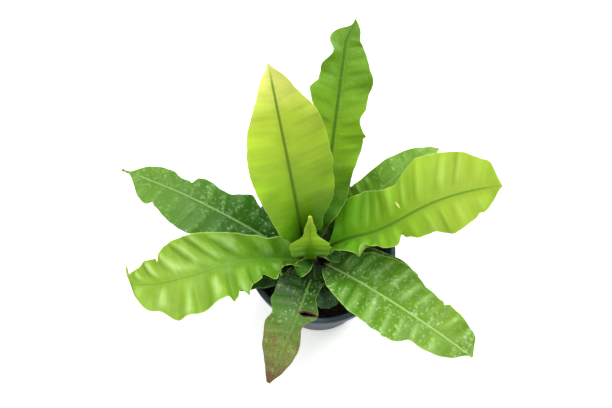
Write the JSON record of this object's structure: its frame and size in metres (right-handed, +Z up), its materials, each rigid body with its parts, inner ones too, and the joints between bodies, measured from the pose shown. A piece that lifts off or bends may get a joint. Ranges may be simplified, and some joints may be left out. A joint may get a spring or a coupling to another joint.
{
  "type": "potted birds nest fern",
  "caption": "Small fern with broad, gently waved strap fronds rising from one crown in a round tapered nursery pot filled with dark potting mix.",
  "frame": {"origin": "centre of the flat underside of the pot", "axes": "+Z up along the pot's axis; -Y towards the side the short brown-tipped frond hangs over; +X to the right seen from that side"},
  "size_m": [0.2742, 0.2423, 0.2841],
  "materials": {
    "pot_plastic": "satin",
    "potting_mix": "matte",
    "crown": "matte",
    "frond_pale": "satin",
    "frond_mid": "satin",
    "frond_dark": "satin"
  },
  "bodies": {
    "root": {"pot": "pot_plastic", "potting_mix": "potting_mix", "crown": "crown", "frond_back_left": "frond_pale", "frond_back_right": "frond_mid", "frond_right_rear": "frond_dark", "frond_right_pale": "frond_pale", "frond_front_right": "frond_mid", "frond_front": "frond_dark", "frond_left_pale": "frond_pale", "frond_left_rear": "frond_dark", "frond_centre_young": "frond_pale", "frond_left_under": "frond_dark", "frond_front_short": "frond_dark", "frond_right_under": "frond_dark"}
  },
  "joints": []
}
